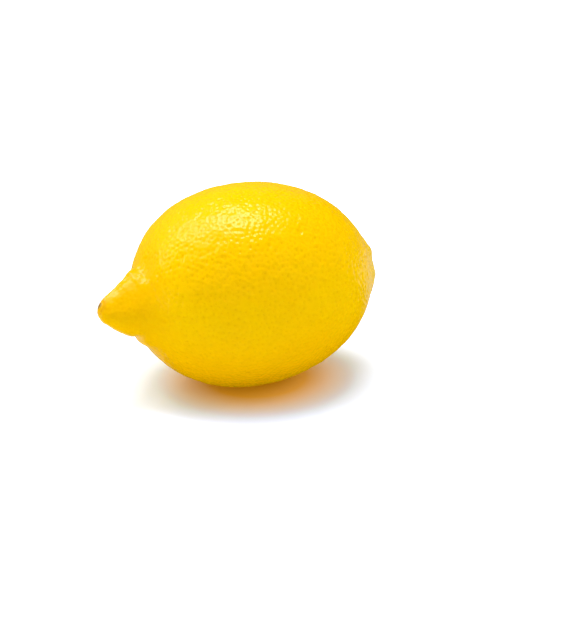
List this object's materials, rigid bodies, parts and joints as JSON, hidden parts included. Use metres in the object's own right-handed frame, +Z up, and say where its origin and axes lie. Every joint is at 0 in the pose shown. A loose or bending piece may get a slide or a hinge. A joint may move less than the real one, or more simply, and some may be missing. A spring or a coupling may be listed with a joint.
{
  "type": "whole lemon",
  "caption": "Ripe whole lemon lying on its side, with a pointed nipple at the blossom end and a dry stem button at the other end.",
  "frame": {"origin": "under the middle of the lemon's bounding box, on the surface that it rests on", "axes": "+Z up; X along the fruit's long axis, nipple towards -X and stem button towards +X; Y across the girth"},
  "size_m": [0.0876, 0.0604, 0.0591],
  "materials": {
    "rind": "waxy pitted lemon rind with a soft broad sheen",
    "dry_calyx": "dry, rough, brown-green calyx and stalk stub"
  },
  "bodies": {
    "root": {"fruit": "rind", "stem_button": "dry_calyx"}
  },
  "joints": []
}
